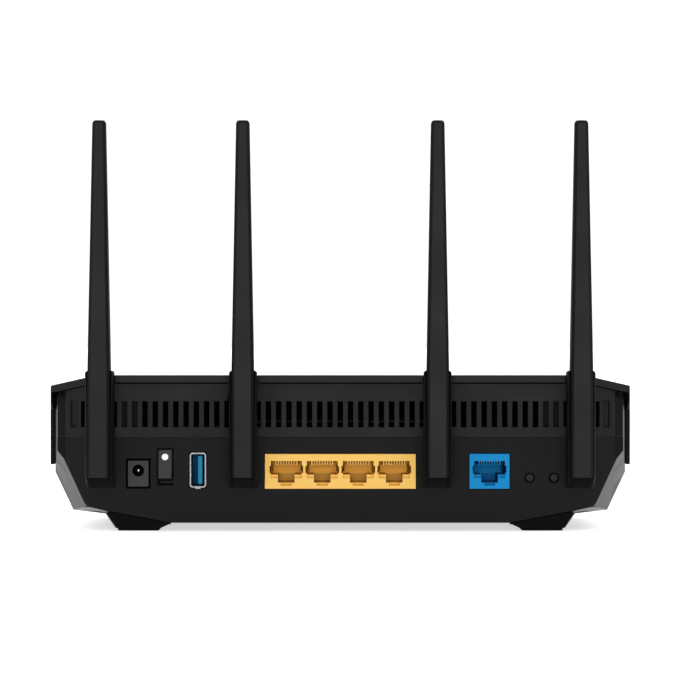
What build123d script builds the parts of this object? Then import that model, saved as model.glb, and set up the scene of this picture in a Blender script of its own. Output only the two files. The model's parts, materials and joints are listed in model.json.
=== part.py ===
"""A desktop wireless router: faceted case, rear connector panel and four tilting antennas.

Millimetres, +Z up, the connector panel faces -Y. The origin is on the floor, in the middle of
the overall box. A size that ends in INSET is measured in from the overall side, and one that ends
in AHEAD is measured forward from the face of the connector panel.
"""
import math
import os

from build123d import *

# Overall form
HALF_WIDTH = 114.4
BODY_DEPTH = 143.0
ANTENNA_STANDOFF = 11.0
LIP_TOP = 60.7
LIP_HEIGHT = 2.9
LIP_OVERHANG = 2.0
FLOOR_Z = 3.1
TOP_WALL = 2.4
SKIRT_WALL = 1.6
CASE_WALL = 2.2
CASE_GAP = 0.3
SEAM_GAP = 0.2
RIM_BEVEL = 0.5
CUT_OVER = 1.0

# Rear panel outline, right half, as (inset, z) from its lower middle to its side
PANEL_LOW_POINTS = ((48.4, FLOOR_Z), (24.4, 7.7), (16.2, 9.7), (15.3, 11.2))
PANEL_SIDE_INSET = 5.0
PANEL_SIDE_LOW = 41.2
PANEL_SIDE_HIGH = 50.2
PANEL_CORNER_INSET = 6.9
WING_WIDTH = 20.4
WING_DROP = 4.0
PANEL_THICK = 2.8
PORT_BAND_TOP = 36.5
PORT_BAND_RECESS = 0.6
SWEEP_START_INSET = 16.2
SWEEP_BACK = 6.0

# Flared lower case, with its belly points as (inset, z)
FLARE_AHEAD = 14.0
FLARE_BELLY = ((48.4, FLOOR_Z), (21.9, 5.8), (8.9, 7.3), (7.2, 11.0))
FLARE_SIDE_LOW = 22.2
SHOULDER_BELLY = ((51.0, FLOOR_Z), (25.0, 5.2), (11.0, 6.8), (8.0, 10.5))
SHOULDER_SIDE_LOW = 21.5
CHEEK_BELLY = ((61.0, FLOOR_Z), (43.0, 5.2), (33.0, 7.4), (29.0, 11.5))
CHEEK_SIDE_LOW = 22.0
NOSE_BELLY = ((87.0, 11.0), (79.0, 12.4), (73.0, 15.0), (71.2, 18.5))
NOSE_SIDE_LOW = 24.0

# Roof and skirts from the rear lip to the nose
SKIRT_LOW = 24.5
SKIRT_START_AHEAD = 14.0
SKIRT_START_TOP = 46.5
SKIRT_EAVE = 52.0
EAVE_BEVEL = 0.8
WING_END_TAPER = 2.2
SHOULDER_AHEAD = 66.0
SHOULDER_WING = 25.0
SHOULDER_FALL = 3.5
SHOULDER_SKIRT_RISE = 3.0
CHEEK_AHEAD = 106.0
CHEEK_INSET = 16.0
CHEEK_WING = 26.0
CHEEK_FALL = 9.0
CHEEK_SKIRT_RISE = 4.0
NOSE_INSET = 67.0
NOSE_WING = 14.0
NOSE_FALL = 21.0
NOSE_SKIRT_RISE = 2.0

# Vent row
VENT_PITCH = 4.0
VENT_WIDTH = 2.0
VENT_LOW = 40.4
VENT_HIGH = 50.4
VENT_END_INSET = 10.4
VENT_OPEN_INSET = 13.4
VENT_BLIND_DEPTH = 2.0
VENT_BLIND_NEAR = 6.0
VENT_BLIND_FAR = 17.0

# Antennas and their pylons
ANTENNA_OUTER_INSET = 21.26
ANTENNA_INNER_X = 37.65
ANTENNA_WIDTH = 8.6
ANTENNA_THICK = 9.2
ANTENNA_TIP_WIDTH = 5.2
ANTENNA_TIP_THICK = 5.4
ANTENNA_FOOT_Z = 21.2
ANTENNA_SHOULDER_Z = 64.0
ANTENNA_TOP_Z = 159.1
ANTENNA_BEVEL = 1.1
ANTENNA_TIP_CROWN = 1.0
PYLON_WIDTH = 10.6
PYLON_LOW = 16.7
PYLON_HIGH = 62.4
PYLON_REVEAL = 1.6
PYLON_ROOT = 1.0
PYLON_EAR_CHAMFER = 0.7
PYLON_CLEARANCE = 0.2
CHANNEL_GAP = 0.4
HINGE_RADIUS = 1.5
HINGE_RUNNING_GAP = 0.05
HINGE_PRESS_GAP = 0.02
HINGE_RECESS = 0.2
KNUCKLE_WIDTH = 5.0
KNUCKLE_THICK = 5.4
KNUCKLE_TOP = 36.0
KNUCKLE_GAP = 0.1
STRIP_WIDTH = 2.6
STRIP_THICK = 0.8
STRIP_TIP_GAP = 8.5
STRIP_GAP = 0.2

# Main board; its posts are measured in from the board's own edges
BOARD_TOP = 16.4
BOARD_THICK = 1.6
BOARD_SIDE_INSET = 27.0
BOARD_NOSE_INSET = 55.0
BOARD_REAR_GAP = 0.8
BOARD_KNEE_AHEAD = 66.0
BOARD_NOSE_AHEAD = 102.0
BOARD_POST_IN = 6.0
BOARD_POST_AHEAD = 46.0
FRONT_POST_IN = 10.0
FRONT_POST_AHEAD = 94.0
BOARD_POST_RADIUS = 3.2
BOARD_SCREW_RADIUS = 1.4
BOARD_SCREW_LENGTH = 6.0
BOARD_SCREW_HEAD = 2.6
BOARD_SCREW_HEAD_HEIGHT = 1.6
SCREW_GAP = 0.05
SCREW_END_GAP = 1.0
POST_ROOT_Z = 3.2

# Screws that hold the case together, in split posts
CASE_POST_INSET = 16.0
CASE_POST_AHEAD = 30.0
NOSE_POST_INSET = 41.0
NOSE_POST_AHEAD = 96.0
CASE_POST_RADIUS = 3.6
CASE_POST_SPLIT = 20.0
CASE_SCREW_RADIUS = 1.5
CASE_SCREW_HEAD = 2.6
CASE_SCREW_SEAT = 10.0
CASE_SCREW_HEAD_HEIGHT = 1.8
CASE_SCREW_GRIP = 7.0

# Vents in the roof and in the belly
ROOF_VENT_COUNT = 12
ROOF_VENT_FIRST_X = 14.0
ROOF_VENT_PITCH = 5.0
ROOF_VENT_LENGTH = 18.0
ROOF_VENT_WIDTH = 2.2
ROOF_VENT_AHEAD = 26.0
BELLY_VENT_LAST = 6
BELLY_VENT_PITCH = 6.0
BELLY_VENT_LENGTH = 16.0
BELLY_VENT_WIDTH = 2.2
BELLY_VENT_AHEAD = (36.0, 60.0, 84.0)

# Status lights behind the nose
LIGHT_X = (-25.0, -15.0, -5.0, 5.0, 15.0, 25.0)
LIGHT_WIDTH = 2.6
LIGHT_HEIGHT = 1.6
LIGHT_LOW = 16.8
LIGHT_GAP = 0.1
LIGHT_SETBACK = 1.0
LIGHT_BAR = 2.5
LIGHT_LEG_X = 20.0
LED_WIDTH = 2.4
LED_DEPTH = 1.6
LED_HEIGHT = 1.8
LED_SETBACK = 1.2

# Parts on the board
CHIP_WIDTH = 16.0
CHIP_HEIGHT = 1.5
PAD_HEIGHT = 0.8
SINK_AHEAD = 64.0
SINK_SHIELD_GAP = 6.0
SINK_DEPTH = 50.0
SINK_BASE = 3.0
SINK_FIN = 1.4
SINK_FIN_PITCH = 6.0
SINK_FIN_HEIGHT = 9.0
SINK_LEG_RADIUS = 2.0
SINK_LEG_IN = 4.0
SHIELD_IN = 22.0
SHIELD_AHEAD = 56.0
SHIELD_WIDTH = 26.0
SHIELD_DEPTH = 36.0
SHIELD_HEIGHT = 3.6
SHIELD_WALL = 0.4
SHIELD_CORNER = 1.2
SHIELD_HOLE_RADIUS = 0.9
SHIELD_HOLE_PITCH = 5.0
SHIELD_HOLE_COLUMNS = 4
SHIELD_HOLE_ROWS = 6
TRANSFORMER_AHEAD = 26.0
TRANSFORMER_WIDTH = 10.0
TRANSFORMER_DEPTH = 7.0
TRANSFORMER_HEIGHT = 5.0

# Network sockets
JACK_PROUD = 0.3
JACK_DEPTH = 20.0
JACK_CAVITY_DEPTH = 14.0
JACK_CLEARANCE = 0.2
LAN_WIDTH = 58.7
LAN_TOP = 29.9
LAN_PITCH = 14.0
LAN_COUNT = 4
WAN_SHARE = 0.3686
WAN_WIDTH = 15.6
WAN_TOP = 30.0
PLUG_WIDTH = 12.0
PLUG_LOW = 21.9
PLUG_HIGH = 27.2
SIDE_SLOT_IN = 5.45
SIDE_SLOT_OUT = 6.55
SIDE_SLOT_LOW = 22.5
SIDE_SLOT_HIGH = 25.3
SIDE_SLOT_DEPTH = 18.5
LEDGE_LOW = 20.6
LEDGE_DEPTH = 1.0
LATCH_WIDTH = 6.4
LATCH_LOW = 18.8
LATCH_TIP_WIDTH = 4.2
LATCH_TIP_LOW = 17.65
LATCH_TIP_DEPTH = 1.6
COMB_LOW = 25.5
COMB_RIB = 0.4
COMB_SETBACK = 0.7
COMB_ROOT = 0.2
CONTACT_COUNT = 8
CONTACT_PITCH = 1.02
CONTACT_WIDTH = 0.4
CONTACT_THICK = 0.35
CONTACT_DROP = 0.6
CONTACT_SETBACK = 2.0
CONTACT_ROOF_GAP = 0.1

# Upright USB socket
USB_SHARE = 0.3199
USB_Z = 23.65
USB_SHELL_WIDTH = 5.85
USB_SHELL_HEIGHT = 13.05
USB_WALL = 0.25
USB_CORNER = 0.9
USB_LIP = 0.25
USB_LIP_DEPTH = 0.5
USB_TAB_WIDTH = 2.0
USB_TAB_DROP = 0.5
USB_PROUD = 0.4
USB_DEPTH = 16.0
USB_TONGUE_SHIFT = 0.8
USB_TONGUE_THICK = 1.7
USB_TONGUE_HEIGHT = 10.9
USB_TONGUE_SETBACK = 1.4
USB_PLUG_DEPTH = 11.5
USB_GAP = 0.1
USB_CONTACTS = 4
USB_CONTACT_PITCH = 2.3
USB_CONTACT_SETBACK = 4.5
USB_CONTACT_LENGTH = 5.5
USB_CONTACT_WIDTH = 1.0
USB_CONTACT_THICK = 0.2
USB_LEG = 1.2

# Power inlet
DC_SHARE = 0.7392
DC_WIDTH = 8.1
DC_LOW = 17.2
DC_HIGH = 27.4
DC_DEPTH = 14.0
DC_CUT_GAP = 0.7
DC_BORE_Z = 23.5
DC_BORE_RADIUS = 2.25
DC_BORE_DEPTH = 9.5
DC_PIN_RADIUS = 0.65
DC_PIN_SETBACK = 1.2
DC_PIN_DOME = 0.8
DC_RIB = 1.2

# Power rocker
ROCKER_SHARE = 0.5506
ROCKER_Z = 24.95
ROCKER_OPENING_WIDTH = 6.4
ROCKER_OPENING_HALF = 7.2
ROCKER_WIDTH = 5.5
ROCKER_FACE_HALF = 5.7
ROCKER_BELLY_HALF = 5.9
ROCKER_BACK_HALF = 4.0
ROCKER_FACE_OUT = 5.6
ROCKER_BACK_IN = 3.0
ROCKER_SINK = 4.66
ROCKER_TILT = 12.0
TRUNNION_RADIUS = 0.9
TRUNNION_GAP = 0.05
HOUSING_WALL = 0.9
HOUSING_SIDE_GAP = 0.4
HOUSING_DEPTH = 13.0
ROCKER_EDGE = 0.4

# Push buttons
BUTTON_SHARES = (0.6515, 0.8227)
BUTTON_NAMES = ("pairing_button", "reset_button")
BUTTON_Z = 20.7
BUTTON_RADIUS = 1.55
BUTTON_HOLE_RADIUS = 1.75
BUTTON_DISH_RADIUS = 2.3
BUTTON_DISH_DEPTH = 0.7
BUTTON_SINK = 0.3
BUTTON_COLLAR_RADIUS = 2.6
BUTTON_COLLAR_THICK = 0.9
BUTTON_TRAVEL = 0.5
BUTTON_STEM_RADIUS = 1.2
BUTTON_STEM_LENGTH = 2.0
BUTTON_STEM_GAP = 0.1
BUTTON_REST_GAP = 0.2
BUTTON_EDGE = 0.4
TACT_WIDTH = 6.2
TACT_HEIGHT = 7.6
TACT_DEPTH = 4.0

# Feet
FOOT_PAD_HALF = 8.05
FOOT_PAD_HEIGHT = 1.0
FOOT_PAD_LENGTH = 16.0
FOOT_RIM = 0.65
FOOT_INNER_SLOPE = 12.5
FOOT_OUTER_SLOPE = 4.0
FOOT_TOP = 6.8
FOOT_BLOCK_LENGTH = 18.0
FOOT_PAD_CORNER = 1.5
REAR_FOOT_INSET = 35.65
REAR_FOOT_AHEAD = 9.6
FRONT_FOOT_INSET = 68.4
FRONT_FOOT_AHEAD = 100.0

# Worked-out planes and places
OVERALL_DEPTH = BODY_DEPTH + ANTENNA_STANDOFF
REAR_Y = ANTENNA_STANDOFF - OVERALL_DEPTH / 2
FRONT_Y = OVERALL_DEPTH / 2
PANEL_IN_Y = REAR_Y + PANEL_THICK
PORT_Y = REAR_Y + PORT_BAND_RECESS
HINGE_Y = REAR_Y - ANTENNA_STANDOFF + ANTENNA_THICK / 2
HINGE_Z = ANTENNA_FOOT_Z + ANTENNA_THICK / 2
STRIP_TOP = ANTENNA_TOP_Z - STRIP_TIP_GAP
PANEL_SIDE_X = HALF_WIDTH - PANEL_SIDE_INSET
SWEEP_START_X = HALF_WIDTH - SWEEP_START_INSET
ANTENNA_OUTER_X = HALF_WIDTH - ANTENNA_OUTER_INSET
ANTENNA_X = (-ANTENNA_OUTER_X, -ANTENNA_INNER_X, ANTENNA_INNER_X, ANTENNA_OUTER_X)
BOARD_HALF = HALF_WIDTH - BOARD_SIDE_INSET
BOARD_NOSE_HALF = HALF_WIDTH - BOARD_NOSE_INSET
BOARD_NOSE_Y = REAR_Y + BOARD_NOSE_AHEAD
SHIELD_X = BOARD_HALF - SHIELD_IN
SHIELD_Y = REAR_Y + SHIELD_AHEAD
SINK_Y = REAR_Y + SINK_AHEAD
SINK_WIDTH = 2 * (SHIELD_X - SHIELD_WIDTH / 2 - SINK_SHIELD_GAP)


def upright(y):
    """A drawing plane across the router at y, with local x along X and local y along Z."""
    return Plane(origin=(0, y, 0), x_dir=(1, 0, 0), z_dir=(0, -1, 0))


def side_on(x):
    """A drawing plane along the router at x, with local x along Y and local y along Z."""
    return Plane(origin=(x, 0, 0), x_dir=(0, 1, 0), z_dir=(1, 0, 0))


def outline(points):
    """A flat face with straight edges through the points."""
    return make_face(Polyline(*points, close=True))


def both_sides(half):
    """A closed outline from its right half, listed from the lower to the upper middle."""
    return [*half, *[(-x, z) for x, z in reversed(half)]]


def block(x0, x1, y0, y1, z0, z1):
    """A box between two corners."""
    middle = Pos((x0 + x1) / 2, (y0 + y1) / 2, (z0 + z1) / 2)
    return middle * Box(x1 - x0, y1 - y0, z1 - z0)


def along_y(x, y, z, radius, length):
    """A round bar from y towards the front."""
    return Pos(x, y, z) * Rot(-90, 0, 0) * Cylinder(
        radius, length, align=(Align.CENTER, Align.CENTER, Align.MIN))


def along_x(x, y, z, radius, length):
    """A round bar across the router, centred on x."""
    return Pos(x, y, z) * Rot(0, 90, 0) * Cylinder(radius, length)


def between_pylons(share):
    """A place on the panel, as a share of the way from the inner to the outer antenna."""
    return ANTENNA_INNER_X + share * (ANTENNA_OUTER_X - ANTENNA_INNER_X)


def from_side(points):
    """Points given by their inset from the overall side, as (x, z)."""
    return [(HALF_WIDTH - inset, z) for inset, z in points]


class Station:
    """One cross-section of the case: its place, half width, wing, top and skirt."""

    def __init__(self, y, half, wing, top, skirt_low, wall):
        self.y = y
        self.half = half
        self.wing = wing
        self.top = top
        self.skirt_low = skirt_low
        self.wall = wall

    def roof(self, x):
        """Height of the outer roof over x: flat in the middle, falling along the wing."""
        past_bend = max(0.0, abs(x) - (self.half - self.wing))
        return self.top - WING_DROP * past_bend / self.wing

    def blend(self, other, y):
        """The section at y on the straight line from this one to the other."""
        share = (y - self.y) / (other.y - self.y)

        def mix(a, b):
            return a + (b - a) * share

        return Station(y, mix(self.half, other.half), mix(self.wing, other.wing),
                       mix(self.top, other.top), mix(self.skirt_low, other.skirt_low),
                       mix(self.wall, other.wall))


REAR_STATION = Station(REAR_Y - LIP_OVERHANG, HALF_WIDTH, WING_WIDTH, LIP_TOP, SKIRT_LOW, LIP_HEIGHT)
SHOULDER_STATION = Station(REAR_Y + SHOULDER_AHEAD, HALF_WIDTH, SHOULDER_WING,
                           LIP_TOP - SHOULDER_FALL, SKIRT_LOW + SHOULDER_SKIRT_RISE, TOP_WALL)
CHEEK_STATION = Station(REAR_Y + CHEEK_AHEAD, HALF_WIDTH - CHEEK_INSET, CHEEK_WING,
                        LIP_TOP - CHEEK_FALL, SKIRT_LOW + CHEEK_SKIRT_RISE, TOP_WALL)
NOSE_STATION = Station(FRONT_Y, HALF_WIDTH - NOSE_INSET, NOSE_WING,
                       LIP_TOP - NOSE_FALL, SKIRT_LOW + NOSE_SKIRT_RISE, TOP_WALL)
FLARE_STATION = REAR_STATION.blend(SHOULDER_STATION, REAR_Y + FLARE_AHEAD)
PANEL_STATION = REAR_STATION.blend(SHOULDER_STATION, PANEL_IN_Y)


def cover_section(station):
    """The roof, wings and skirts of the top cover, cut across."""
    inner = station.half - SKIRT_WALL
    eave = station.half - EAVE_BEVEL
    bend = station.half - station.wing
    return both_sides([
        (bend, station.top - station.wall),
        (inner, station.roof(inner) - station.wall),
        (inner, station.skirt_low),
        (station.half, station.skirt_low),
        (station.half, station.roof(station.half) - EAVE_BEVEL),
        (eave, station.roof(eave)),
        (bend, station.top),
    ])


def case_section(station, belly, side_low):
    """The lower case cut across, right half: belly points, then its side and its bevelled rim."""
    half = station.half - SKIRT_WALL - CASE_GAP
    eave = half - RIM_BEVEL
    rim = station.wall + SEAM_GAP
    bend = station.half - station.wing
    return [*from_side(belly), (half, side_low), (half, station.roof(half) - rim - RIM_BEVEL),
            (eave, station.roof(eave) - rim), (bend, station.top - rim)]


def inset_half(half, wall):
    """The inside of a right half outline: belly and side moved in by the wall, open above."""
    edges = [((0.0, half[0][1]), half[0]), *zip(half, half[1:])][:-2]
    moved = []
    for (x0, z0), (x1, z1) in edges:
        length = math.hypot(x1 - x0, z1 - z0)
        nx, nz = -(z1 - z0) / length, (x1 - x0) / length
        moved.append((x0 + nx * wall, z0 + nz * wall, x1 - x0, z1 - z0))
    inside = []
    for (ax, az, aw, ah), (bx, bz, bw, bh) in zip(moved, moved[1:]):
        along = ((bx - ax) * bh - (bz - az) * bw) / (aw * bh - ah * bw)
        inside.append((ax + aw * along, az + ah * along))
    inside.append((inside[-1][0], LIP_TOP + CASE_WALL))
    return inside


def ruled(sections):
    """A solid with flat-sided skins through outlines given as (y, points)."""
    return loft([upright(y) * outline(points) for y, points in sections], ruled=True)


def panel_band(behind, thick):
    """The plan of a sheet that follows the swept rear panel, starting behind its face."""
    reach = HALF_WIDTH + PANEL_THICK
    back = SWEEP_BACK * (reach - SWEEP_START_X) / (PANEL_SIDE_X - SWEEP_START_X)
    line = [(-reach, REAR_Y + back), (-SWEEP_START_X, REAR_Y),
            (SWEEP_START_X, REAR_Y), (reach, REAR_Y + back)]
    near = [(x, y + behind) for x, y in line]
    far = [(x, y + behind + thick) for x, y in reversed(line)]
    return outline(near + far)


def faceted(sections):
    """A solid with flat three-sided skins through right halves of outlines, given as (y, half).

    The crease of each skin runs from its upper point on the nearer outline to its lower point on
    the next one, alike on both sides.
    """
    rings = [[(x, y, z) for x, z in both_sides(half)] for y, half in sections]
    count = len(rings[0])
    faces = [outline(rings[0]), outline(rings[-1])]
    for near, far in zip(rings, rings[1:]):
        for n in range(count):
            low, high = (n - 1, n) if n < count / 2 else (n, n - 1)
            faces.append(outline([near[low], near[high], far[low]]))
            faces.append(outline([near[high], far[high], far[low]]))
    return Solid(Shell(faces))


def panel_half():
    """Right half of the rear panel's outline, cut off at its upper corner."""
    corner = HALF_WIDTH - PANEL_CORNER_INSET
    rim = PANEL_STATION.wall + SEAM_GAP
    return [*from_side(PANEL_LOW_POINTS), (PANEL_SIDE_X, PANEL_SIDE_LOW),
            (PANEL_SIDE_X, PANEL_SIDE_HIGH), (corner, PANEL_STATION.roof(corner) - rim),
            (HALF_WIDTH - WING_WIDTH, PANEL_STATION.top - rim)]


def mirrored_places(places):
    """Each place, given as (x, distance ahead), on the right and its twin on the left."""
    return [(side * x, REAR_Y + ahead) for x, ahead in places for side in (-1, 1)]


CASE_POSTS = mirrored_places([(HALF_WIDTH - CASE_POST_INSET, CASE_POST_AHEAD),
                              (HALF_WIDTH - NOSE_POST_INSET, NOSE_POST_AHEAD)])
BOARD_POSTS = mirrored_places([(BOARD_HALF - BOARD_POST_IN, BOARD_POST_AHEAD),
                               (BOARD_NOSE_HALF - FRONT_POST_IN, FRONT_POST_AHEAD)])
FEET = mirrored_places([(HALF_WIDTH - REAR_FOOT_INSET, REAR_FOOT_AHEAD),
                        (HALF_WIDTH - FRONT_FOOT_INSET, FRONT_FOOT_AHEAD)])


def make_top_cover():
    """The roof with its rear lip, falling wings and side skirts, and four screw posts below."""
    stations = (REAR_STATION, SHOULDER_STATION, CHEEK_STATION, NOSE_STATION)
    cover = ruled([(s.y, cover_section(s)) for s in stations])
    # The lip is cut back along the wings, as the panel below it is
    above = LIP_TOP + CUT_OVER
    cover -= extrude(panel_band(-LIP_OVERHANG - SWEEP_BACK * 2, SWEEP_BACK * 2), above)
    # The skirts start further forward than the wings, so the flared case shows behind them
    start = REAR_Y + SKIRT_START_AHEAD
    behind = REAR_Y - LIP_OVERHANG - CUT_OVER
    gap_shape = outline([(behind, 0), (start, 0), (start, SKIRT_START_TOP), (behind, SKIRT_EAVE)])
    for side in (-1, 1):
        middle = side * (HALF_WIDTH - SKIRT_WALL / 2)
        cover -= extrude(side_on(middle) * gap_shape, SKIRT_WALL / 2 + CASE_GAP / 2, both=True)
        # Behind them the wing's end draws in a little
        past = HALF_WIDTH + CUT_OVER
        plan = [(HALF_WIDTH, start), (HALF_WIDTH - WING_END_TAPER, behind), (past, behind), (past, start)]
        cover -= extrude(outline([(side * x, y) for x, y in plan]), above)
    # The pylons stand through notches in the lip
    notch = PYLON_WIDTH / 2 + SEAM_GAP
    for x in ANTENNA_X:
        cover -= block(x - notch, x + notch, REAR_Y - LIP_OVERHANG - CUT_OVER,
                       REAR_Y + PYLON_ROOT + SEAM_GAP, SKIRT_LOW, above)
    for side in (-1, 1):
        for n in range(ROOF_VENT_COUNT):
            x = side * (ROOF_VENT_FIRST_X + n * ROOF_VENT_PITCH)
            slot = SlotOverall(ROOF_VENT_LENGTH, ROOF_VENT_WIDTH, 90)
            cover -= extrude(Pos(x, REAR_Y + ROOF_VENT_AHEAD) * slot, above)
    for x, y in CASE_POSTS:
        cover += Pos(x, y, CASE_POST_SPLIT) * Cylinder(
            CASE_POST_RADIUS, cover_height(x, y) - CASE_POST_SPLIT,
            align=(Align.CENTER, Align.CENTER, Align.MIN))
        cover -= Pos(x, y, CASE_POST_SPLIT) * Cylinder(
            CASE_SCREW_RADIUS + SCREW_GAP, 2 * (CASE_SCREW_GRIP + SCREW_END_GAP))
    return cover


def cover_height(x, y):
    """Middle of the roof's thickness over a place."""
    stations = (REAR_STATION, SHOULDER_STATION, CHEEK_STATION, NOSE_STATION)
    for here, there in zip(stations, stations[1:]):
        if here.y <= y <= there.y:
            section = here.blend(there, y)
            return section.roof(x) - section.wall / 2
    raise ValueError("the place is outside the roof")


def case_stations():
    """The lower case's outlines from the panel to the nose, as (y, right half)."""
    return [
        (REAR_Y, panel_half()),
        (FLARE_STATION.y, case_section(FLARE_STATION, FLARE_BELLY, FLARE_SIDE_LOW)),
        (SHOULDER_STATION.y, case_section(SHOULDER_STATION, SHOULDER_BELLY, SHOULDER_SIDE_LOW)),
        (CHEEK_STATION.y, case_section(CHEEK_STATION, CHEEK_BELLY, CHEEK_SIDE_LOW)),
        (FRONT_Y, case_section(NOSE_STATION, NOSE_BELLY, NOSE_SIDE_LOW)),
    ]


def foot_block(x, y):
    """A foot block under the case: sloped inside and outside, flat where the pad sits."""
    side = math.copysign(1.0, x)
    inner = abs(x) - FOOT_PAD_HALF - FOOT_RIM
    outer = abs(x) + FOOT_PAD_HALF + FOOT_RIM
    profile = [(inner, FOOT_PAD_HEIGHT), (outer, FOOT_PAD_HEIGHT),
               (outer + FOOT_OUTER_SLOPE, FOOT_TOP), (inner - FOOT_INNER_SLOPE, FOOT_TOP)]
    face = outline([(side * px, pz) for px, pz in profile])
    return extrude(upright(y) * face, FOOT_BLOCK_LENGTH / 2, both=True)


def make_lower_case():
    """The open tub: flared sides, foot blocks, screw posts, underside vents, light windows."""
    hull = faceted(case_stations())
    case = hull + [foot_block(x, y) for x, y in FEET]
    insides = [(y, inset_half(half, CASE_WALL)) for y, half in case_stations()]
    insides[0] = (REAR_Y - CUT_OVER, insides[0][1])
    insides[-1] = (FRONT_Y - CASE_WALL, insides[-1][1])
    case -= faceted(insides)
    # The rear edge stops just in front of the swept panel, and the foot blocks run on under it
    reach = 2 * FLARE_AHEAD
    room = extrude(panel_band(PANEL_THICK + SEAM_GAP - reach, reach), LIP_TOP)
    case -= [room & hull, room & Pos(0, 0, -SEAM_GAP) * hull]
    for x, y in BOARD_POSTS:
        case += hull & post(x, y, BOARD_POST_RADIUS, BOARD_TOP - BOARD_THICK)
        case -= Pos(x, y, BOARD_TOP) * Cylinder(
            BOARD_SCREW_RADIUS + SCREW_GAP, 2 * (BOARD_SCREW_LENGTH + SCREW_END_GAP))
    for x, y in CASE_POSTS:
        case += hull & post(x, y, CASE_POST_RADIUS, CASE_POST_SPLIT - SEAM_GAP)
        case -= Pos(x, y) * Cylinder(CASE_SCREW_RADIUS + SCREW_GAP, 2 * CASE_POST_SPLIT)
        case -= Pos(x, y) * Cylinder(CASE_SCREW_HEAD + SCREW_GAP, 2 * CASE_SCREW_SEAT)
    for n in range(-BELLY_VENT_LAST, BELLY_VENT_LAST + 1):
        for ahead in BELLY_VENT_AHEAD:
            slot = SlotOverall(BELLY_VENT_LENGTH, BELLY_VENT_WIDTH, 90)
            case -= extrude(Pos(n * BELLY_VENT_PITCH, REAR_Y + ahead) * slot, FLOOR_Z + 2 * CASE_WALL)
    for x in LIGHT_X:
        half = LIGHT_WIDTH / 2 + LIGHT_GAP
        case -= block(x - half, x + half, FRONT_Y - 2 * CASE_WALL, FRONT_Y + CUT_OVER,
                      LIGHT_LOW - LIGHT_GAP, LIGHT_LOW + LIGHT_HEIGHT + LIGHT_GAP)
    return case


def post(x, y, radius, top):
    """A round post that grows out of the case's floor."""
    return Pos(x, y, POST_ROOT_Z) * Cylinder(
        radius, top - POST_ROOT_Z, align=(Align.CENTER, Align.CENTER, Align.MIN))


def make_foot_pads():
    """Four rubber pads, one under each foot block."""
    size = (2 * FOOT_PAD_HALF, FOOT_PAD_LENGTH, FOOT_PAD_HEIGHT)
    pads = []
    for x, y in FEET:
        pad = Pos(x, y, FOOT_PAD_HEIGHT / 2) * Box(*size)
        pads.append(fillet(pad.edges().filter_by(Axis.Z), FOOT_PAD_CORNER))
    return pads


def pylon(x):
    """A moulded upright: two cheeks with chamfered ears, and a channel between them for one antenna.

    The channel is open below, so that the antenna's square heel can swing through.
    """
    cheek_y = HINGE_Y - ANTENNA_THICK / 2 + PYLON_REVEAL
    root_y = REAR_Y + PYLON_ROOT
    profile = outline([(root_y, PYLON_LOW), (REAR_Y - PYLON_ROOT, PYLON_LOW), (cheek_y, ANTENNA_FOOT_Z),
                       (cheek_y, PYLON_HIGH), (root_y, PYLON_HIGH)])
    body = extrude(side_on(x) * profile, PYLON_WIDTH / 2, both=True)
    ears = body.faces().sort_by(Axis.Z)[-1].edges().filter_by(Axis.Y)
    body = chamfer(ears, PYLON_EAR_CHAMFER)
    half = ANTENNA_WIDTH / 2 + PYLON_CLEARANCE
    channel_y = HINGE_Y + ANTENNA_THICK / 2 + CHANNEL_GAP
    return body - block(x - half, x + half, cheek_y - CUT_OVER, channel_y,
                        PYLON_LOW - CUT_OVER, PYLON_HIGH + CUT_OVER)


JACK_Y = PORT_Y - JACK_PROUD
LAN_X = [(n - (LAN_COUNT - 1) / 2) * LAN_PITCH for n in range(LAN_COUNT)]
WAN_X = between_pylons(WAN_SHARE)


def into_jack(x, left, right, low, high, depth):
    """A cutter into a socket's face between two offsets from its middle."""
    return block(x + left, x + right, JACK_Y - CUT_OVER, JACK_Y + depth, low, high)


def jack_cavity(x):
    """The keyed hole of one network socket: plug, side slots, front ledge and stepped latch slot."""
    plug, latch, tip = PLUG_WIDTH / 2, LATCH_WIDTH / 2, LATCH_TIP_WIDTH / 2
    return [
        into_jack(x, -plug, plug, PLUG_LOW, PLUG_HIGH, JACK_CAVITY_DEPTH),
        into_jack(x, -SIDE_SLOT_OUT, -SIDE_SLOT_IN, SIDE_SLOT_LOW, SIDE_SLOT_HIGH, SIDE_SLOT_DEPTH),
        into_jack(x, SIDE_SLOT_IN, SIDE_SLOT_OUT, SIDE_SLOT_LOW, SIDE_SLOT_HIGH, SIDE_SLOT_DEPTH),
        into_jack(x, -plug, plug, LEDGE_LOW, PLUG_LOW, LEDGE_DEPTH),
        into_jack(x, -latch, latch, LATCH_LOW, PLUG_LOW, JACK_CAVITY_DEPTH),
        into_jack(x, -tip, tip, LATCH_TIP_LOW, LATCH_LOW, LATCH_TIP_DEPTH),
    ]


def jack_comb(x):
    """The ribs under a socket's roof, with one contact wire between each two."""
    ribs = []
    for n in range(CONTACT_COUNT + 1):
        place = x + (n - CONTACT_COUNT / 2) * CONTACT_PITCH
        ribs.append(block(place - COMB_RIB / 2, place + COMB_RIB / 2, JACK_Y + COMB_SETBACK,
                          JACK_Y + JACK_CAVITY_DEPTH + COMB_ROOT, COMB_LOW, PLUG_HIGH + COMB_ROOT))
    return ribs


def make_jack(x, width, top, sockets):
    """A network socket housing on the board, with its keyed cavities and their combs."""
    housing = block(x - width / 2, x + width / 2, JACK_Y, JACK_Y + JACK_DEPTH, BOARD_TOP, top)
    for socket in sockets:
        housing -= jack_cavity(socket)
        housing += jack_comb(socket)
    return housing


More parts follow.
